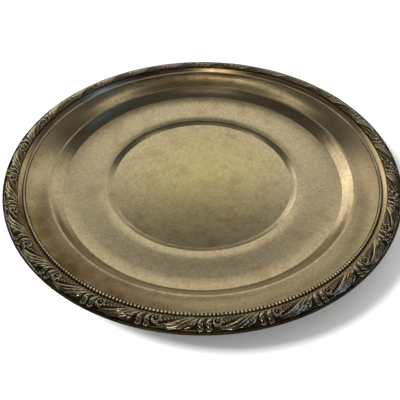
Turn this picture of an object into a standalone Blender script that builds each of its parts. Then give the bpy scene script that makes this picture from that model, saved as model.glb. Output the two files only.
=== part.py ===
"""Offering plate, silver plated: a stamped dish with a beaded wire and a die-struck border soldered round its rim.

Metres, +Z up. The origin is the centre of the underside, so the plate stands on Z = 0.
A profile is a list of corners (radius, height, corner radius), from the inside of the plate outwards.
"""

import math

import bmesh
import bpy
from mathutils import Matrix

MM = 0.001

# Driving dimensions
PLATE_RADIUS = 152.5 * MM
SHEET = 1.0 * MM
JOINT_GAP = 0.3 * MM

# Dish: the corners of its upper face from the foot of the well's step to the bead groove, as radius, height and
# corner radius
WELL_RADIUS = 73.6 * MM
FACE_CORNERS = [
    (WELL_RADIUS, SHEET, 1.5 * MM),
    (78.6 * MM, 3.5 * MM, 3.0 * MM),
    (83.0 * MM, 4.0 * MM, 0),
    (97.0 * MM, 4.85 * MM, 0),
    (106.0 * MM, 5.65 * MM, 0),
    (111.4 * MM, 6.45 * MM, 3.5 * MM),
    (116.2 * MM, 9.5 * MM, 0),
    (120.7 * MM, 13.2 * MM, 3.5 * MM),
    (128.0 * MM, 16.75 * MM, 0),
    (135.6 * MM, 19.6 * MM, 0),
]
COVE_INNER_RADIUS = 138.7 * MM
COVE_OUTER_RADIUS = 141.3 * MM
SEAT_HEIGHT = 23.0 * MM
SEAT_OUTER_RADIUS = 150.7 * MM

# Beaded wire, in the groove between the flange and the cove
BEAD_DIAMETER = 2.1 * MM
BEAD_RING_RADIUS = 137.2 * MM
GROOVE_FLOOR_WIDTH = 1.6 * MM
GROOVE_FLOOR_HEIGHT = 19.0 * MM

# Border: two repeats of the pattern to a section
MOTIFS = 26
MOTIFS_IN_SECTION = 2
SECTIONS = MOTIFS // MOTIFS_IN_SECTION
SECTION_ANGLE = 2 * math.pi / SECTIONS
FIRST_SECTION_ANGLE = math.radians(-106.0)
BORDER_INNER_RADIUS = 141.8 * MM
BORDER_OUTER_RADIUS = 150.7 * MM
BORDER_CREST_RADIUS = 145.8 * MM
BORDER_HEIGHT = 2.4 * MM
BORDER_SHELL = 0.5 * MM
BORDER_INNER_LIP = 1.6 * MM
BORDER_OUTER_LIP = 1.1 * MM

# Plain wire round the outer edge
EDGE_WIRE_DIAMETER = 1.5 * MM
EDGE_WIRE_HEIGHT = 23.2 * MM

STEPS_IN_SECTION = 6
RING_STEPS = SECTIONS * STEPS_IN_SECTION
CORNER_STEPS = 2
WIRE_SIDES = 6


def clear_scene():
    for item in list(bpy.data.objects):
        bpy.data.objects.remove(item, do_unlink=True)


def new_collection(name):
    collection = bpy.data.collections.new(name)
    bpy.context.scene.collection.children.link(collection)
    return collection


def new_material(name, colour, roughness):
    material = bpy.data.materials.new(name)
    material.use_nodes = True
    shader = material.node_tree.nodes["Principled BSDF"]
    shader.inputs["Base Color"].default_value = (*colour, 1.0)
    shader.inputs["Metallic"].default_value = 1.0
    shader.inputs["Roughness"].default_value = roughness
    return material


def round_corner(before, corner, after, radius):
    """The points of the arc that joins the two edges of a corner, tangent to both."""
    to_before = (before[0] - corner[0], before[1] - corner[1])
    to_after = (after[0] - corner[0], after[1] - corner[1])
    length_before = math.hypot(*to_before)
    length_after = math.hypot(*to_after)
    a = (to_before[0] / length_before, to_before[1] / length_before)
    b = (to_after[0] / length_after, to_after[1] / length_after)
    half_angle = math.acos(max(-1.0, min(1.0, a[0] * b[0] + a[1] * b[1]))) / 2
    tangent = radius / math.tan(half_angle)
    centre_distance = radius / math.sin(half_angle)
    middle = (a[0] + b[0], a[1] + b[1])
    scale = centre_distance / math.hypot(*middle)
    centre = (corner[0] + middle[0] * scale, corner[1] + middle[1] * scale)
    start = (corner[0] + a[0] * tangent - centre[0], corner[1] + a[1] * tangent - centre[1])
    end = (corner[0] + b[0] * tangent - centre[0], corner[1] + b[1] * tangent - centre[1])
    turn = math.atan2(start[0] * end[1] - start[1] * end[0], start[0] * end[0] + start[1] * end[1])
    points = []
    for step in range(CORNER_STEPS + 1):
        angle = turn * step / CORNER_STEPS
        x = start[0] * math.cos(angle) - start[1] * math.sin(angle)
        z = start[0] * math.sin(angle) + start[1] * math.cos(angle)
        points.append((centre[0] + x, centre[1] + z))
    return points


def smooth_path(corners):
    """An open path through corners (radius, height, corner radius), with its inner corners rounded."""
    points = [corners[0][:2]]
    for before, corner, after in zip(corners, corners[1:], corners[2:]):
        if corner[2]:
            points += round_corner(before, corner, after, corner[2])
        else:
            points.append(corner[:2])
    points.append(corners[-1][:2])
    return points


def offset_path(points, distance):
    """The path moved to its right by a distance: below it, for a path that runs outwards."""
    moved = []
    for index, point in enumerate(points):
        before = points[max(index - 1, 0)]
        after = points[min(index + 1, len(points) - 1)]
        normals = []
        for start, end in ((before, point), (point, after)):
            run = (end[0] - start[0], end[1] - start[1])
            length = math.hypot(*run)
            if length:
                normals.append((run[1] / length, -run[0] / length))
        mean = (sum(n[0] for n in normals) / len(normals), sum(n[1] for n in normals) / len(normals))
        square = mean[0] ** 2 + mean[1] ** 2
        moved.append((point[0] + mean[0] * distance / square, point[1] + mean[1] * distance / square))
    return moved


def turned_object(name, outline, closed, collection, material):
    """A solid of revolution about Z, its facets in line with the border's. The outline runs down its outer side."""
    vertices = [(radius, 0.0, height) for radius, height in outline]
    edges = [(index, index + 1) for index in range(len(outline) - 1)]
    if closed:
        edges.append((len(outline) - 1, 0))
    mesh = bpy.data.meshes.new(name)
    mesh.from_pydata(vertices, edges, [])
    turned = bpy.data.objects.new(name, mesh)
    turned.rotation_euler = (0, 0, FIRST_SECTION_ANGLE)
    collection.objects.link(turned)
    screw = turned.modifiers.new("turn", "SCREW")
    screw.axis = "Z"
    screw.angle = 2 * math.pi
    screw.steps = RING_STEPS
    screw.render_steps = RING_STEPS
    screw.use_merge_vertices = True
    screw.merge_threshold = 0.01 * MM
    screw.use_smooth_shade = True
    mesh.materials.append(material)
    return turned


def wire_outline(ring_radius, height, diameter):
    outline = []
    for side in range(WIRE_SIDES):
        angle = math.pi / 2 - 2 * math.pi * (side + 0.5) / WIRE_SIDES
        radius = diameter / 2
        outline.append((ring_radius + radius * math.cos(angle), height + radius * math.sin(angle)))
    return outline


def dish_corners():
    """The upper face of the dish, from the centre to the rim."""
    groove_inner_radius = BEAD_RING_RADIUS - GROOVE_FLOOR_WIDTH / 2
    groove_outer_radius = BEAD_RING_RADIUS + GROOVE_FLOOR_WIDTH / 2
    return [
        (0.0, SHEET, 0),
        *FACE_CORNERS,
        (groove_inner_radius, GROOVE_FLOOR_HEIGHT, 0),
        (groove_outer_radius, GROOVE_FLOOR_HEIGHT, 0),
        (COVE_INNER_RADIUS, GROOVE_FLOOR_HEIGHT + 0.9 * MM, 0),
        (COVE_OUTER_RADIUS, SEAT_HEIGHT, 1.2 * MM),
        (SEAT_OUTER_RADIUS, SEAT_HEIGHT, 0),
    ]


def make_dish(collection, material):
    """One stamped sheet: well, plateau, curved wall, flange, bead groove, cove and the flat seat of the border."""
    top = smooth_path(dish_corners())
    underside = offset_path(top, SHEET)
    underside[0] = (0.0, underside[0][1])
    return turned_object("plate_body", top + underside[::-1], False, collection, material)


def make_bead_wire(collection, material):
    height = GROOVE_FLOOR_HEIGHT + JOINT_GAP + BEAD_DIAMETER / 2
    outline = wire_outline(BEAD_RING_RADIUS, height, BEAD_DIAMETER)
    return turned_object("bead_wire", outline, True, collection, material)


def make_edge_wire(collection, material):
    ring_radius = PLATE_RADIUS - EDGE_WIRE_DIAMETER / 2
    outline = wire_outline(ring_radius, EDGE_WIRE_HEIGHT, EDGE_WIRE_DIAMETER)
    return turned_object("edge_wire", outline, True, collection, material)


def border_arch(inset):
    """The arched top of a border section, moved inwards by an inset."""
    foot = SEAT_HEIGHT + JOINT_GAP
    corners = [
        (BORDER_INNER_RADIUS, foot, 0),
        (BORDER_INNER_RADIUS + 0.2 * MM, foot + BORDER_INNER_LIP, 0),
        (BORDER_CREST_RADIUS, foot + BORDER_HEIGHT, 4.0 * MM),
        (BORDER_OUTER_RADIUS - 0.3 * MM, foot + BORDER_OUTER_LIP, 0),
        (BORDER_OUTER_RADIUS, foot, 0),
    ]
    arch = offset_path(smooth_path(corners), inset)
    arch[0] = (arch[0][0], foot)
    arch[-1] = (arch[-1][0], foot)
    return arch


def make_border_section_mesh(material):
    """Two repeats of the border, struck in thin sheet: an arched strip, hollow underneath and open at both ends."""
    outline = border_arch(0.0) + border_arch(BORDER_SHELL)[::-1]
    half_gap = JOINT_GAP / 2 / BORDER_CREST_RADIUS
    shape = bmesh.new()
    corners = [shape.verts.new((radius, 0.0, height)) for radius, height in outline]
    face = shape.faces.new(corners)
    parts = corners + list(face.edges) + [face]
    bmesh.ops.rotate(shape, verts=corners, cent=(0, 0, 0), matrix=Matrix.Rotation(half_gap, 3, "Z"))
    bmesh.ops.spin(
        shape,
        geom=parts,
        cent=(0, 0, 0),
        axis=(0, 0, 1),
        angle=SECTION_ANGLE - 2 * half_gap,
        steps=STEPS_IN_SECTION,
        use_duplicate=False,
    )
    bmesh.ops.remove_doubles(shape, verts=shape.verts, dist=0.001 * MM)
    bmesh.ops.recalc_face_normals(shape, faces=shape.faces)
    mesh = bpy.data.meshes.new("border_section")
    shape.to_mesh(mesh)
    shape.free()
    mesh.materials.append(material)
    mesh.shade_smooth()
    mesh.set_sharp_from_angle(angle=math.radians(40))
    return mesh


def make_border(collection, material):
    mesh = make_border_section_mesh(material)
    for number in range(SECTIONS):
        section = bpy.data.objects.new(f"border_section_{number + 1:02d}", mesh)
        section.rotation_euler = (0, 0, FIRST_SECTION_ANGLE - (number + 1) * SECTION_ANGLE)
        collection.objects.link(section)


def make_border_solder(collection, material):
    """The soft solder run into the hollow back of the border, which holds it to the seat."""
    arch = border_arch(BORDER_SHELL + JOINT_GAP)
    return turned_object("border_solder", arch, True, collection, material)


def main():
    clear_scene()
    plate = new_collection("offering_plate")
    body_plate = new_material("silver plate, tarnished", (0.50, 0.43, 0.28), 0.3)
    border_plate = new_material("silver plate, oxidised", (0.34, 0.29, 0.19), 0.35)
    wire_plate = new_material("silver plate on drawn wire", (0.45, 0.38, 0.25), 0.3)
    solder = new_material("soft solder", (0.42, 0.42, 0.43), 0.55)
    make_dish(plate, body_plate)
    make_bead_wire(plate, wire_plate)
    make_border(plate, border_plate)
    make_border_solder(plate, solder)
    make_edge_wire(plate, wire_plate)


main()
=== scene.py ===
"""Looks of the offering plate: silver plated dish, beaded wire, struck leaf border and edge wire."""

import math

import bpy
import numpy as np
from mathutils import Matrix, Vector


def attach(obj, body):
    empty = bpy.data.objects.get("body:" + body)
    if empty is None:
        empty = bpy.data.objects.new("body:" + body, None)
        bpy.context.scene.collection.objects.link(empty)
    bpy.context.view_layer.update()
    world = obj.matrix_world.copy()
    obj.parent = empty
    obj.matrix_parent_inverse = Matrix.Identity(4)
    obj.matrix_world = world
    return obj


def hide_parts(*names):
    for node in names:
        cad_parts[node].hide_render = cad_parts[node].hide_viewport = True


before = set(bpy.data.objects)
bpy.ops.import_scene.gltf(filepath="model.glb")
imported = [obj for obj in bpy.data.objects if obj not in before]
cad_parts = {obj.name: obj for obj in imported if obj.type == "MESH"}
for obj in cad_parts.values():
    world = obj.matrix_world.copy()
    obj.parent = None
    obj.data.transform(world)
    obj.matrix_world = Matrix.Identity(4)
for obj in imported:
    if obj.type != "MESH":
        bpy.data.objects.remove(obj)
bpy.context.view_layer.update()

MM = 0.001


# The dish. One disc of brass sheet, 1 mm thick, is stamped into a sunk well, a plateau, a curved wall, a sloping
# flange, a groove for the beaded wire, a plain cove and a flat seat for the border, and then silver plated. Years of
# wiping have brushed the plate fine, and tarnish has turned it olive and beige with brown and pinkish clouds.

SHEET = 1.0
TURN_STEPS = 288
ARC_STEPS = 7
# Corners of the dish's upper face: radius, height and corner radius in mm.
DISH_CORNERS = [
    (0.0, 1.0, 0),
    (36.0, 1.0, 0),
    (73.7, 1.0, 0.8),
    (76.2, 2.2, 4.0),
    (78.3, 3.36, 0.8),
    (80.2, 3.62, 3.0),
    (83.0, 4.0, 90.0),
    (97.0, 4.85, 400.0),
    (106.0, 5.65, 120.0),
    (112.6, 6.7, 0.9),
    (116.4, 9.7, 30.0),
    (120.0, 13.1, 0.8),
    (121.8, 13.42, 1.5),
    (127.8, 16.6, 60.0),
    (131.6, 18.2, 40.0),
    (136.9, 20.1, 0.2),
    (137.2, 19.3, 0.2),
    (138.6, 19.3, 0.2),
    (138.9, 19.7, 0.3),
    (141.5, 23.0, 1.2),
    (150.7, 23.0, 0),
]


def rounded_path(corners, arc_steps):
    """Points along corners (x, y, radius), each corner that has a radius drawn as an arc."""
    points = [Vector(corners[0][:2])]
    for before, corner, after in zip(corners, corners[1:], corners[2:]):
        middle = Vector(corner[:2])
        if not corner[2]:
            points.append(middle)
            continue
        back = (Vector(before[:2]) - middle).normalized()
        ahead = (Vector(after[:2]) - middle).normalized()
        half_angle = back.angle(ahead) / 2
        centre = middle + (back + ahead).normalized() * corner[2] / math.sin(half_angle)
        start = middle + back * corner[2] / math.tan(half_angle) - centre
        turn = start.angle_signed(middle + ahead * corner[2] / math.tan(half_angle) - centre)
        for step in range(arc_steps + 1):
            points.append(centre + Matrix.Rotation(-turn * step / arc_steps, 2) @ start)
    points.append(Vector(corners[-1][:2]))
    return points


def turn_path(name, path):
    """Draws the path by extruding one vertex in edit mode, and spins it once round Z."""
    bpy.ops.object.select_all(action="DESELECT")
    bpy.ops.mesh.primitive_plane_add(size=MM)
    turned = bpy.context.object
    turned.name = name
    bpy.ops.object.mode_set(mode="EDIT")
    bpy.ops.mesh.merge(type="CENTER")
    bpy.ops.transform.translate(value=(path[0].x * MM, 0, path[0].y * MM))
    for start, end in zip(path, path[1:]):
        step = end - start
        bpy.ops.mesh.extrude_region_move(TRANSFORM_OT_translate={"value": (step.x * MM, 0, step.y * MM)})
    bpy.ops.mesh.select_all(action="SELECT")
    bpy.ops.mesh.spin(steps=TURN_STEPS, angle=2 * math.pi, center=(0, 0, 0), axis=(0, 0, 1))
    bpy.ops.mesh.select_all(action="SELECT")
    bpy.ops.mesh.remove_doubles(threshold=0.005 * MM)
    bpy.ops.mesh.normals_make_consistent(inside=False)
    bpy.ops.object.mode_set(mode="OBJECT")
    return turned


def linear(hex_colour):
    """An sRGB hex colour as linear red, green, blue and alpha."""
    channels = [int(hex_colour[place : place + 2], 16) / 255 for place in (1, 3, 5)]
    return [c / 12.92 if c <= 0.04045 else ((c + 0.055) / 1.055) ** 2.4 for c in channels] + [1.0]


def add_node(material, kind, inputs=None, stops=None, **settings):
    """Adds a node. Inputs are values or outputs to link; stops are a colour ramp's (place, colour)."""
    node = material.node_tree.nodes.new(kind)
    for setting, value in settings.items():
        setattr(node, setting, value)
    if stops:
        ramp = node.color_ramp
        ramp.elements.remove(ramp.elements[1])
        for number, (place, colour) in enumerate(stops):
            element = ramp.elements[0] if number == 0 else ramp.elements.new(place)
            element.position = place
            element.color = colour if len(colour) == 4 else (*colour, 1.0)
    for socket, value in (inputs or {}).items():
        if isinstance(value, bpy.types.NodeSocket):
            material.node_tree.links.new(value, node.inputs[socket])
        else:
            node.inputs[socket].default_value = value
    return node


def grey(value):
    return (value, value, value, 1.0)


def metal_material(name, roughness):
    """A new metal and its shader, with the uniform values set on the shader itself."""
    material = bpy.data.materials.new(name)
    material.use_nodes = True
    shader = material.node_tree.nodes["Principled BSDF"]
    shader.inputs["Metallic"].default_value = 1.0
    shader.inputs["Roughness"].default_value = roughness
    return material, shader


def link(material, output, target):
    material.node_tree.links.new(output, target)


def noise(material, place, scale, detail, **roughness):
    """A cloudy pattern, its scale in clouds to the metre."""
    inputs = {"Vector": place, "Scale": scale, "Detail": detail}
    inputs.update({name.capitalize(): value for name, value in roughness.items()})
    return add_node(material, "ShaderNodeTexNoise", inputs).outputs["Fac"]


def ramp(material, amount, stops):
    return add_node(material, "ShaderNodeValToRGB", {"Fac": amount}, stops=stops).outputs["Color"]


def blend(material, amount, under, over, **settings):
    """Lays one colour over another by the amount."""
    inputs = {0: amount, 6: under, 7: over}
    return add_node(material, "ShaderNodeMix", inputs, data_type="RGBA", **settings).outputs[2]


def maths(material, operation, *values):
    return add_node(material, "ShaderNodeMath", dict(enumerate(values)), operation=operation).outputs[0]


def spread(material, value, **limits):
    """Maps a value from one range to another; the limits are named as on the node, such as from_min."""
    inputs = {"Value": value}
    inputs.update({name.replace("_", " ").title(): limit for name, limit in limits.items()})
    return add_node(material, "ShaderNodeMapRange", inputs).outputs[0]


# The distance from the middle, in mm, at which each scale of rings ends.
TINT_REACH = 180.0
GRIME_AND_SHADE_REACH = 160.0
# Radius in mm and thickness of the grime and painted shade in the bead groove and in the crease beside the border.
GRIME_AND_SHADE_RINGS = [(136.72, 0), (137.2, 0.9), (138.72, 0.9), (139.2, 0), (141.44, 0), (142.24, 0.7)]
# Where the flange is darker brown: the direction from the middle, and the distances in metres where it fades in.
BROWN_SIDES = [((-0.66, -0.75, 0.0), (0.098, 0.125)), ((-0.1, 0.99, 0.0), (0.112, 0.13))]


def dish_silver_plate():
    """Tarnished silver plate: olive in the well, grey-beige on the plateau, tan outside it, with soft stains."""
    material, shader = metal_material("tarnished silver plate, wiped", 0.22)
    place = add_node(material, "ShaderNodeTexCoord").outputs["Object"]
    # The tint follows the distance from the middle, in mm, thrown about by clouds 50 mm across.
    flat = add_node(material, "ShaderNodeVectorMath", {0: place, 1: (1000.0, 1000.0, 0.0)}, operation="MULTIPLY")
    from_middle = add_node(material, "ShaderNodeVectorMath", {0: flat.outputs[0]}, operation="LENGTH")
    radius = from_middle.outputs["Value"]
    wide = noise(material, place, 20.0, 4.0, roughness=0.55)
    moved = maths(material, "MULTIPLY_ADD", wide, 45.0, radius)
    tint = ramp(
        material,
        maths(material, "DIVIDE", moved, TINT_REACH),
        [
            (0.15, linear("#CABB84")),
            (0.45, linear("#C5B68B")),
            (0.58, linear("#C6B895")),
            (0.76, linear("#C2B28E")),
            (0.86, linear("#B9A782")),
        ],
    )
    # Brown and grey-green stains, 15 mm across.
    stain = noise(material, place, 55.0, 5.0, roughness=0.6)
    brown_amount = ramp(material, stain, [(0.5, grey(0)), (0.7, grey(0.5))])
    green_amount = ramp(material, stain, [(0.25, grey(0.35)), (0.42, grey(0))])
    browned = blend(material, brown_amount, tint, linear("#A98560"))
    browner = blend(material, green_amount, browned, linear("#A5A384"))
    # The flange is darker brown, in patches, at the near left and along the far side.
    for towards, (begins, full) in BROWN_SIDES:
        side = add_node(material, "ShaderNodeVectorMath", {0: place, 1: towards}, operation="DOT_PRODUCT")
        edge = spread(material, side.outputs["Value"], from_min=begins, from_max=full, to_max=1.5)
        out_far = spread(material, radius, from_min=116.0, from_max=123.0)
        patchy = maths(material, "MULTIPLY", maths(material, "MULTIPLY", edge, out_far), stain)
        browner = blend(material, patchy, browner, linear("#6E5630"))
    # Wiping scratches, 0.9 mm apart and 30 mm long, coarser than the real ones so that they show.
    turned = {"Vector": place, "Rotation": (0, 0, 0.1), "Scale": (33, 1100, 1)}
    along = add_node(material, "ShaderNodeMapping", turned)
    scratches = noise(material, along.outputs[0], 1.0, 3.0)
    fine = noise(material, place, 900.0, 3.0)
    grain = add_node(material, "ShaderNodeMix", {0: 0.5, 2: scratches, 3: fine}, data_type="FLOAT")
    relief = {"Height": grain.outputs[0], "Strength": 0.14, "Distance": 0.05 * MM}
    bump = add_node(material, "ShaderNodeBump", relief)
    # A few pits in the plate, under a millimetre across, show the dark brass.
    pits = add_node(material, "ShaderNodeTexVoronoi", {"Vector": place, "Scale": 70.0})
    pit_amount = ramp(material, pits.outputs["Distance"], [(0.02, grey(0.75)), (0.05, grey(0))])
    pitted = blend(material, pit_amount, browner, linear("#5A4630"))
    # A fine mottle, 1 to 3 mm across, of thin and thick tarnish.
    mottle = noise(material, place, 420.0, 4.0, roughness=0.75)
    mottle_shade = ramp(material, mottle, [(0.38, grey(0.8)), (0.62, grey(1.0))])
    mottled = blend(material, 1.0, pitted, mottle_shade, blend_type="MULTIPLY")
    # Brown grime, where no cloth reaches, and painted shade darken the bead groove and the crease beside the border.
    grime_and_shade_stops = [(ring / GRIME_AND_SHADE_REACH, grey(thickness)) for ring, thickness in GRIME_AND_SHADE_RINGS]
    grime_and_shade_amount = ramp(material, maths(material, "DIVIDE", radius, GRIME_AND_SHADE_REACH), grime_and_shade_stops)
    link(material, blend(material, grime_and_shade_amount, mottled, linear("#5A4829")), shader.inputs["Base Color"])
    link(material, bump.outputs[0], shader.inputs["Normal"])
    return material


def finish_piece(piece, material, slot, *nodes):
    """Gives a piece its material, hangs it under the root and hides the CAD nodes it stands for."""
    piece.data.materials.clear()
    piece.data.materials.append(material)
    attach(piece, "root")
    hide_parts(*nodes)


def apply_modifiers(piece):
    bpy.context.view_layer.objects.active = piece
    for modifier in list(piece.modifiers):
        bpy.ops.object.modifier_apply(modifier=modifier.name)


dish = turn_path("stamped_dish", rounded_path(DISH_CORNERS, ARC_STEPS))
wall = dish.modifiers.new("sheet", "SOLIDIFY")
wall.thickness = SHEET * MM
wall.offset = -1
apply_modifiers(dish)
bpy.ops.object.shade_smooth_by_angle(angle=math.radians(50))
finish_piece(dish, dish_silver_plate(), "dish_silver_plate", "plate_body")


# The beaded wire. Round brass wire is rolled between grooved wheels into a string of beads joined by thin necks,
# bent to a ring and soldered into the groove at the foot of the cove.

BEADS = 364
BEAD_RING_RADIUS = 137.9
BEAD_RADIUS = 0.78
BEAD_HEIGHT = 20.3
NECK_RADIUS = 0.24
# Less than a full metal, so that beads as small as these still look pale under the soft light; this pale diffuse
# colour is partly the plate's own and partly painted highlight, standing in for glints too small to show.
BEAD_METALLIC = 0.78
NECK_TOLERANCE = 0.01


def wire_silver_plate(name, dark, light, roughness):
    """Silver plate on drawn wire, smooth, with clouds of tarnish from the dark to the light colour."""
    material, shader = metal_material(name, roughness)
    place = add_node(material, "ShaderNodeTexCoord").outputs["Object"]
    cloud = noise(material, place, 60.0, 3.0)
    colour = ramp(material, cloud, [(0.35, linear(dark)), (0.65, linear(light))])
    link(material, colour, shader.inputs["Base Color"])
    return material


bpy.ops.object.select_all(action="DESELECT")
bpy.ops.mesh.primitive_uv_sphere_add(
    segments=12, ring_count=8, radius=BEAD_RADIUS * MM, location=(BEAD_RING_RADIUS * MM, 0, BEAD_HEIGHT * MM)
)
bead_wire = bpy.context.object
bead_wire.name = "beaded_wire"
bpy.ops.object.transform_apply(location=True, rotation=True, scale=True)
bpy.ops.object.mode_set(mode="EDIT")
bpy.ops.mesh.select_all(action="SELECT")
bpy.ops.mesh.spin(
    steps=BEADS - 1, angle=2 * math.pi * (BEADS - 1) / BEADS, center=(0, 0, 0), axis=(0, 0, 1), dupli=True
)
bpy.ops.mesh.primitive_torus_add(
    major_segments=BEADS,
    minor_segments=6,
    major_radius=BEAD_RING_RADIUS * MM,
    minor_radius=NECK_RADIUS * MM,
    location=(0, 0, BEAD_HEIGHT * MM),
)
bpy.ops.object.mode_set(mode="OBJECT")
bpy.ops.object.shade_smooth()
# The pale bead colour is partly the plate's own and partly painted highlight.
bead_plate_and_glint = wire_silver_plate("silver plate on beads, pale, painted glint", "#D2C49C", "#F4E9C8", 0.3)
bead_plate_and_glint.node_tree.nodes["Principled BSDF"].inputs["Metallic"].default_value = BEAD_METALLIC
finish_piece(bead_wire, bead_plate_and_glint, "wire_silver_plate", "bead_wire")
# The neck, whose corners all lie one neck radius from the wire's middle, carries the dark tarnish and the painted
# shade between the beads.
bead_wire.data.materials.append(wire_silver_plate("brown tarnish and painted shade between beads", "#3E3018", "#5E4C2C", 0.45))
on_neck = []
for corner in bead_wire.data.vertices:
    across = math.hypot(corner.co.x, corner.co.y) - BEAD_RING_RADIUS * MM
    from_middle = math.hypot(across, corner.co.z - BEAD_HEIGHT * MM)
    on_neck.append(abs(from_middle - NECK_RADIUS * MM) < NECK_TOLERANCE * MM)
for face in bead_wire.data.polygons:
    if all(on_neck[index] for index in face.vertices):
        face.material_index = 1


# The border. Thin silver plated strip is struck in a steel die, two repeats to a length, over leaves, a scroll and a
# string of berries. The lengths are filled with solder and sweated end to end round the rim. The die is modelled
# first, the strip is pressed down on it, and the struck strip is bent to the rim. Oxide stays in its hollows.

MOTIFS = 26
SECTIONS = 13
SECTION_ANGLE = 2 * math.pi / SECTIONS
FIRST_JOINT_ANGLE = math.radians(-106.0)
JOINT_GAP = 0.06
BORDER_RADIUS = 145.8
REPEAT = 2 * math.pi * BORDER_RADIUS / MOTIFS
STRIP_SHEET = 0.45
# The strip's section once bent: radius, height and corner radius in mm, from its inner foot to its outer foot.
STRIP_CORNERS = [
    (142.3, 23.3, 0),
    (142.4, 24.4, 0.4),
    (146.0, 25.2, 6.0),
    (150.3, 24.1, 0.5),
    (150.9, 23.3, 0),
]
GRID_STEP = 0.2
BACK_ROWS = 8
EDGE_TOLERANCE = 0.01
END_TOLERANCE = 0.001
PAST_THE_END = 1000
# The joint between sections lies this far, along the rim, from a scroll's eye.
JOINT_FROM_EYE = 20.9
DIE_SHIFT_ACROSS = -0.45


def strand(points, thickness, flatness, lift=0.0):
    """A tapering roll of the die: points (along, across), a thickness at each, flattened and lifted, in mm."""
    bpy.ops.curve.primitive_bezier_curve_add()
    roll = bpy.context.object
    spline = roll.data.splines[0]
    spline.bezier_points.add(len(points) - 2)
    for knot, point, radius in zip(spline.bezier_points, points, thickness):
        knot.co = (point[0] * MM, point[1] * MM, 0)
        knot.radius = radius
        knot.handle_left_type = knot.handle_right_type = "AUTO"
    roll.data.dimensions = "3D"
    spline.radius_interpolation = "EASE"
    roll.data.bevel_depth = MM
    roll.data.bevel_resolution = 3
    roll.data.resolution_u = 10
    roll.data.use_fill_caps = True
    bpy.ops.object.convert(target="MESH")
    bpy.ops.transform.resize(value=(1, 1, flatness))
    bpy.ops.transform.translate(value=(0, 0, lift * MM))
    bpy.ops.object.transform_apply(location=True, rotation=True, scale=True)
    return roll


def berry(along, across, radius, lift=0.0):
    bpy.ops.mesh.primitive_uv_sphere_add(
        segments=16, ring_count=10, radius=radius * MM, location=(along * MM, across * MM, lift * MM)
    )
    bpy.ops.object.transform_apply(location=True, rotation=True, scale=True)
    return bpy.context.object


def motif():
    """One repeat of the die, in mm: along from the scroll's eye, across from the strip's inner edge."""
    rolls = []
    # The scroll winds one and a quarter turns round a small eye, and thickens into a full round cheek.
    turns = [(1.5 + 0.05 * step, 0.3 * step) for step in range(0, 27, 2)]
    spiral = [(r * math.cos(a + 2.4), 4.0 + r * math.sin(a + 2.4)) for r, a in turns]
    rolls.append(strand(spiral, [0.34 + 0.025 * step for step in range(len(spiral))], 1.7))
    rolls.append(berry(0, 4.0, 0.72, 0.3))
    rolls.append(strand([(2.7, 4.4), (1.5, 6.6), (-0.4, 7.1), (-2.2, 6.5)], [0.4, 1.15, 1.0, 0.35], 1.15))
    # Two spoon lobes fan out from the inner edge. The rim of each curls round its end in a hook.
    for foot, end in ((2.6, 4.8), (6.4, 9.6)):
        lobe = [(foot, 1.2), (end - 0.4, 3.8), (end + 0.4, 6.2), (end, 8.4)]
        rolls.append(strand(lobe, [0.6, 1.3, 1.5, 0.8], 0.62))
        hook = [(end - 1.3, 3.4), (end - 0.9, 6.6), (end - 0.9, 9.2), (end + 0.7, 9.8), (end + 1.5, 8.6)]
        rolls.append(strand(hook, [0.3, 0.65, 0.8, 0.75, 0.35], 1.25))
    # A broad plain leaf leans against them.
    rolls.append(strand([(9.4, 1.2), (13.0, 4.3), (15.6, 6.9), (18.6, 8.8)], [0.5, 1.3, 1.6, 0.7], 0.62))
    # Two thin tips trail along the outer edge under the blade.
    rolls.append(strand([(12.8, 3.0), (17.2, 6.3), (20.8, 8.4), (24.8, 9.6)], [0.35, 0.95, 1.0, 0.25], 0.95))
    rolls.append(strand([(17.0, 5.6), (22.2, 8.2), (26.6, 9.4), (31.5, 9.9)], [0.3, 0.8, 0.8, 0.25], 0.9))
    # The blade: three pleats leave the inner edge together and sweep out round the next string of berries.
    pleat = [(11.6, 1.0), (16.6, 2.5), (21.6, 4.9), (26.6, 6.8), (34.4, 8.1)]
    rolls.append(strand(pleat, [0.4, 0.95, 1.2, 1.05, 0.5], 1.0))
    pleat = [(11.4, 1.2), (16.0, 3.7), (20.6, 6.4), (26.0, 8.3), (33.2, 9.1)]
    rolls.append(strand(pleat, [0.4, 0.95, 1.15, 0.95, 0.45], 0.95))
    pleat = [(11.2, 1.4), (14.8, 4.4), (19.2, 7.4), (24.4, 9.2), (30.2, 9.9)]
    rolls.append(strand(pleat, [0.4, 0.75, 0.9, 0.65, 0.25], 0.9))
    # A string of six berries runs from the inner edge to the scroll, over a thin stem.
    for number in range(6):
        rolls.append(berry(-12.8 + 1.85 * number, 1.9 + 0.7 * number, 0.55 + 0.07 * number, 0.3))
    rolls.append(strand([(-15.5, 1.2), (-9.5, 1.1), (-5.0, 1.6), (-2.4, 2.9)], [0.2, 0.4, 0.45, 0.3], 0.8))
    return rolls


def make_die():
    """Four repeats of the motif on a flat ground, so that the leaves run on past both ends of the strip."""
    rolls = motif()
    bpy.ops.object.select_all(action="DESELECT")
    for roll in rolls:
        roll.select_set(True)
    bpy.context.view_layer.objects.active = rolls[0]
    bpy.ops.object.join()
    one = bpy.context.object
    one.name = "die"
    one.location = ((JOINT_FROM_EYE - REPEAT) * MM, DIE_SHIFT_ACROSS * MM, 0)
    bpy.ops.object.transform_apply(location=True, rotation=False, scale=False)
    repeats = [one]
    for number in range(3):
        bpy.ops.object.duplicate()
        bpy.context.object.location.x = REPEAT * MM
        bpy.ops.object.transform_apply(location=True, rotation=False, scale=False)
        repeats.append(bpy.context.object)
    bpy.ops.mesh.primitive_plane_add(size=1, location=(REPEAT * MM, 4 * MM, 0))
    ground = bpy.context.object
    ground.scale = (5 * REPEAT, 40, 1)
    bpy.ops.transform.resize(value=(MM, MM, 1))
    bpy.ops.object.transform_apply(location=True, rotation=True, scale=True)
    for piece in repeats:
        piece.select_set(True)
    bpy.ops.object.join()
    return bpy.context.object


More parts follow.
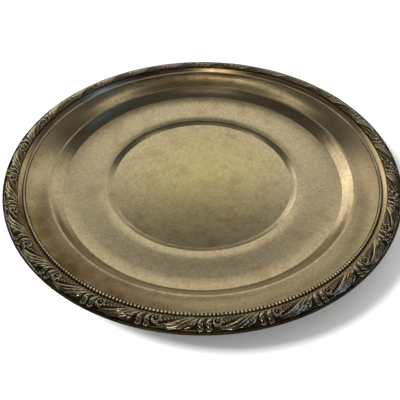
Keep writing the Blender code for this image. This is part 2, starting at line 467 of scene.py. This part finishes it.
def blurred(heights, reach):
    """The heights averaged over a square of neighbours, along the strip as a ring and across it up to its edges."""
    for axis in (0, 1):
        width = [(0, 0), (0, 0)]
        width[axis] = (reach, reach)
        padded = np.pad(heights, width, mode="wrap" if axis == 1 else "edge")
        total = np.cumsum(np.insert(padded, 0, 0, axis=axis), axis=axis)
        high = np.take(total, range(2 * reach + 1, total.shape[axis]), axis=axis)
        low = np.take(total, range(0, total.shape[axis] - 2 * reach - 1), axis=axis)
        heights = (high - low) / (2 * reach + 1)
    return heights


strip_path = rounded_path(STRIP_CORNERS, ARC_STEPS)
strip_run = [0.0]
for start, end in zip(strip_path, strip_path[1:]):
    strip_run.append(strip_run[-1] + (end - start).length)


def struck_strip(die):
    """A flat strip pressed on the die, with the depth of its hollows kept for the oxide."""
    length = 2 * REPEAT - JOINT_GAP
    width = strip_run[-1]
    columns = round(length / GRID_STEP)
    rows = round(width / GRID_STEP)
    bpy.ops.object.select_all(action="DESELECT")
    bpy.ops.mesh.primitive_grid_add(
        x_subdivisions=columns, y_subdivisions=rows, size=1, location=(length / 2 * MM, width / 2 * MM, 5 * MM)
    )
    strip = bpy.context.object
    strip.scale = (length * MM, width * MM, 1)
    bpy.ops.object.transform_apply(location=True, rotation=True, scale=True)
    press = strip.modifiers.new("press", "SHRINKWRAP")
    press.wrap_method = "PROJECT"
    press.use_project_z = True
    press.use_positive_direction = False
    press.use_negative_direction = True
    press.target = die
    flow = strip.modifiers.new("flow of the metal", "SMOOTH")
    flow.factor = 0.5
    flow.iterations = 4
    flow.use_x = flow.use_y = False
    apply_modifiers(strip)
    points = np.empty(len(strip.data.vertices) * 3)
    strip.data.vertices.foreach_get("co", points)
    heights = points.reshape(-1, 3)[:, 2].reshape(rows + 1, columns + 1) / MM
    hollow = np.clip((blurred(heights, 5) - heights) / 0.6 + 0.45 - 0.42 * heights, 0, 1)
    layer = strip.data.attributes.new("hollow", "FLOAT", "POINT")
    layer.data.foreach_set("value", hollow.ravel())
    return strip, width


def close_back(strip, width):
    """Extrudes the outer edge under the strip to its inner edge, and caps both ends."""
    mesh = strip.data
    bpy.ops.object.mode_set(mode="EDIT")
    bpy.ops.mesh.select_mode(type="VERT")
    bpy.ops.mesh.select_all(action="DESELECT")
    bpy.ops.object.mode_set(mode="OBJECT")
    for vertex in mesh.vertices:
        vertex.select = vertex.co.y > (width - EDGE_TOLERANCE) * MM
    bpy.ops.object.mode_set(mode="EDIT")
    bpy.ops.mesh.extrude_region_move(TRANSFORM_OT_translate={"value": (0, 0, -STRIP_SHEET * MM)})
    bpy.ops.transform.resize(value=(1, 1, 0), center_override=(0, 0, -STRIP_SHEET * MM))
    for row in range(BACK_ROWS):
        bpy.ops.mesh.extrude_region_move(TRANSFORM_OT_translate={"value": (0, -width / BACK_ROWS * MM, 0)})
    bpy.ops.object.mode_set(mode="OBJECT")
    bpy.ops.object.mode_set(mode="EDIT")
    bpy.ops.object.mode_set(mode="OBJECT")
    for vertex in mesh.vertices:
        vertex.select = vertex.co.y < EDGE_TOLERANCE * MM
    bpy.ops.object.mode_set(mode="EDIT")
    bpy.ops.mesh.bridge_edge_loops()
    last_end = 2 * REPEAT - JOINT_GAP
    for low, high in ((-1, END_TOLERANCE), (last_end - END_TOLERANCE, PAST_THE_END)):
        bpy.ops.mesh.select_all(action="DESELECT")
        bpy.ops.object.mode_set(mode="OBJECT")
        for vertex in mesh.vertices:
            vertex.select = low * MM < vertex.co.x < high * MM
        bpy.ops.object.mode_set(mode="EDIT")
        bpy.ops.mesh.edge_face_add()
    bpy.ops.mesh.select_all(action="SELECT")
    bpy.ops.mesh.normals_make_consistent(inside=False)
    bpy.ops.object.mode_set(mode="OBJECT")


def bend_strip(strip):
    """Lays the strip's width along its arched section and its length round the rim."""
    points = np.empty(len(strip.data.vertices) * 3)
    strip.data.vertices.foreach_get("co", points)
    along, across, height = (points.reshape(-1, 3) / MM).T
    path = np.array([tuple(point) for point in strip_path])
    run = np.array(strip_run)
    slope = np.gradient(path, run, axis=0)
    radius = np.interp(across, run, path[:, 0])
    level = np.interp(across, run, path[:, 1])
    run_out = np.interp(across, run, slope[:, 0])
    run_up = np.interp(across, run, slope[:, 1])
    size = np.hypot(run_out, run_up)
    radius = radius - height * run_up / size
    level = level + height * run_out / size
    angle = FIRST_JOINT_ANGLE - (along + JOINT_GAP / 2) / BORDER_RADIUS
    bent = np.stack([radius * np.cos(angle), radius * np.sin(angle), level], axis=1) * MM
    strip.data.vertices.foreach_set("co", bent.ravel())
    strip.data.update()


def border_silver_plate():
    """Silver plate over struck brass, polished by wear, with brown oxide left in the hollows."""
    material, shader = metal_material("oxidised silver plate, struck", 0.2)
    place = add_node(material, "ShaderNodeTexCoord").outputs["Object"]
    hollow = add_node(material, "ShaderNodeAttribute", attribute_name="hollow").outputs["Fac"]
    blotch = noise(material, place, 130.0, 4.0)
    ragged = maths(material, "SUBTRACT", blotch, 0.5)
    oxide = maths(material, "MULTIPLY_ADD", ragged, 0.35, hollow)
    colour = ramp(
        material,
        oxide,
        [
            (0.0, linear("#A89C80")),
            (0.3, linear("#7A6C52")),
            (0.6, linear("#54462F")),
            (0.95, linear("#3E3220")),
        ],
    )
    roughness = spread(material, oxide, from_max=0.8, to_min=0.13, to_max=0.25)
    link(material, colour, shader.inputs["Base Color"])
    link(material, roughness, shader.inputs["Roughness"])
    return material


die = make_die()
section, section_width = struck_strip(die)
bpy.data.objects.remove(die)
close_back(section, section_width)
bend_strip(section)
bpy.ops.object.select_all(action="DESELECT")
section.select_set(True)
bpy.context.view_layer.objects.active = section
bpy.ops.object.shade_smooth_by_angle(angle=math.radians(60))
border_plate = border_silver_plate()
for number in range(SECTIONS):
    struck = section.copy()
    struck.data = section.data.copy()
    struck.name = f"struck_border_{number + 1:02d}"
    struck.data.transform(Matrix.Rotation(-number * SECTION_ANGLE, 4, "Z"))
    bpy.context.scene.collection.objects.link(struck)
    finish_piece(struck, border_plate, "border_silver_plate", f"border_section_{number + 1:02d}")
bpy.data.objects.remove(section)


# The edge wire. A plain round wire is soldered outside the border, flush with the edge of the seat, and covers the
# cut edge of the sheet. Its plate is dark and smooth, with random lighter clouds.

EDGE_WIRE_RADIUS = 0.75
EDGE_RING_RADIUS = 151.75
EDGE_WIRE_HEIGHT = 23.2

bpy.ops.object.select_all(action="DESELECT")
bpy.ops.mesh.primitive_torus_add(
    major_segments=TURN_STEPS,
    minor_segments=16,
    major_radius=EDGE_RING_RADIUS * MM,
    minor_radius=EDGE_WIRE_RADIUS * MM,
    location=(0, 0, EDGE_WIRE_HEIGHT * MM),
)
edge_wire = bpy.context.object
edge_wire.name = "plain_edge_wire"
bpy.ops.object.transform_apply(location=True, rotation=True, scale=True)
bpy.ops.object.shade_smooth()
edge_plate = wire_silver_plate("silver plate on edge wire, dark", "#40351F", "#5E5033", 0.42)
finish_piece(edge_wire, edge_plate, "wire_silver_plate", "edge_wire")


# The solder. Lead and tin solder, run hot into the hollow back of the struck border, holds it down on the seat. It
# sets dull grey with a frosted skin, and none of it shows from above.

def soft_solder():
    material, shader = metal_material("soft solder, dull", 0.55)
    place = add_node(material, "ShaderNodeTexCoord").outputs["Object"]
    frost = noise(material, place, 400.0, 4.0)
    colour = ramp(material, frost, [(0.3, linear("#77777A")), (0.7, linear("#A3A3A6"))])
    link(material, colour, shader.inputs["Base Color"])
    return material


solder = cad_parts["border_solder"]
solder.data.materials.clear()
solder.data.materials.append(soft_solder())


# The table, the lights and the camera. The plate stands on white paper. Soft panels stand for what the metal mirrors:
# pale walls on every side, lamps overhead and behind, and blue windows. Three more light the paper.

def panel(name, azimuth, elevation, distance, width, height, strength, colour, glossy=True, diffuse=True):
    """A flat light that faces the plate. Azimuth runs clockwise from the far side, in degrees."""
    bpy.ops.object.light_add(type="AREA")
    lamp = bpy.context.object
    lamp.name = name
    a, e = math.radians(azimuth), math.radians(elevation)
    out = Vector((math.sin(a) * math.cos(e), math.cos(a) * math.cos(e), math.sin(e)))
    lamp.location = out * distance
    lamp.rotation_euler = out.to_track_quat("Z", "Y").to_euler()
    lamp.data.shape = "RECTANGLE"
    lamp.data.size = width
    lamp.data.size_y = height
    lamp.data.energy = strength * width * height * math.pi
    lamp.data.color = colour
    lamp.visible_camera = False
    lamp.visible_glossy = glossy
    lamp.visible_diffuse = diffuse
    return lamp


PANEL_DISTANCE = 3.0
WARM = (1.0, 0.97, 0.9)
# Name, azimuth, elevation, width and height in metres, strength. The paper doesn't take their light.
REFLECTED = [
    ("far_wall", -4, 34, 5.2, 1.3, 0.38),
    ("far_wall_low", -4, 8, 5.6, 1.5, 0.6),
    ("far_wall_left", -25, 8, 1.3, 1.9, 1.0),
    ("far_wall_left_high", -41, 27, 1.3, 1.2, 1.05),
    ("far_wall_right", 36, 17, 1.3, 1.6, 0.4),
    ("far_wall_top", 3, 40.5, 2.0, 0.55, 0.72),
    ("ceiling_left", -38, 66, 0.4, 0.4, 1.7),
    ("ceiling_right", 38, 66, 0.4, 0.4, 1.7),
    ("lamp", -7, 71, 0.15, 0.2, 12.0),
    ("lamp_round", -7, 75, 0.8, 0.9, 0.28),
    ("lamp_behind", 192, 48, 0.9, 0.45, 7.0),
    ("ceiling_behind", 184, 62, 1.6, 0.6, 0.18),
    ("wall_behind", 184, 26, 2.4, 1.0, 0.3),
    ("side_wall_left", -92, 15, 2.6, 1.3, 0.42),
    ("side_wall_right", 92, 15, 2.6, 1.3, 0.42),
]
for name, azimuth, elevation, width, height, strength in REFLECTED:
    panel(name, azimuth, elevation, PANEL_DISTANCE, width, height, strength, WARM, diffuse=False)
BLUE = (0.16, 0.42, 1.0)
panel("window_left_glint", 13, 63, PANEL_DISTANCE, 0.15, 0.15, 1.3, BLUE, diffuse=False)
panel("window_high", 81, 43, PANEL_DISTANCE, 0.35, 0.35, 0.9, BLUE, diffuse=False)
panel("window_right", 112, 30, PANEL_DISTANCE, 1.1, 0.9, 4.0, BLUE, diffuse=False)
# These light the paper and cast the shadow, and the metal doesn't mirror them.
panel("key", -100, 50, 2.0, 0.45, 0.45, 70.0, (1, 1, 1), glossy=False)
panel("fill", 0, 90, 2.5, 4.0, 4.0, 0.86, (1, 1, 1), glossy=False)
panel("near_fill", 180, 50, 2.5, 1.5, 1.0, 3.2, (1, 1, 1), glossy=False)

# The paper lies just under the plate's foot, so that the two faces don't coincide.
FLOOR_CLEARANCE = 0.2
bpy.ops.mesh.primitive_plane_add(size=6, location=(0, 0, -FLOOR_CLEARANCE * MM))
floor = bpy.context.object
floor.name = "white_paper"
paper = bpy.data.materials.new("white paper")
paper.use_nodes = True
paper_shader = paper.node_tree.nodes["Principled BSDF"]
paper_shader.inputs["Base Color"].default_value = linear("#F4F4F4")
paper_shader.inputs["Roughness"].default_value = 0.9
floor.data.materials.append(paper)
floor.visible_glossy = False

world = bpy.data.worlds.new("room")
world.use_nodes = True
world.node_tree.nodes["Background"].inputs["Color"].default_value = linear("#FFFFFF")
world.node_tree.nodes["Background"].inputs["Strength"].default_value = 0.075
bpy.context.scene.world = world

CAMERA_PLACE = Vector((0, -269.2, 251.8)) * MM
CAMERA_AIM = Vector((-1.5, -47.9, 23.9)) * MM
CAMERA_ROLL = -0.0037
CAMERA_LENS = 39.6
bpy.ops.object.camera_add(location=CAMERA_PLACE)
camera = bpy.context.object
towards_plate = (CAMERA_AIM - CAMERA_PLACE).to_track_quat("-Z", "Y").to_matrix()
turned_to = towards_plate @ Matrix.Rotation(CAMERA_ROLL, 3, "Z")
camera.rotation_euler = turned_to.to_euler()
camera.data.lens = CAMERA_LENS
camera.data.clip_start = 0.01
bpy.context.scene.camera = camera
bpy.context.scene.view_settings.view_transform = "Standard"
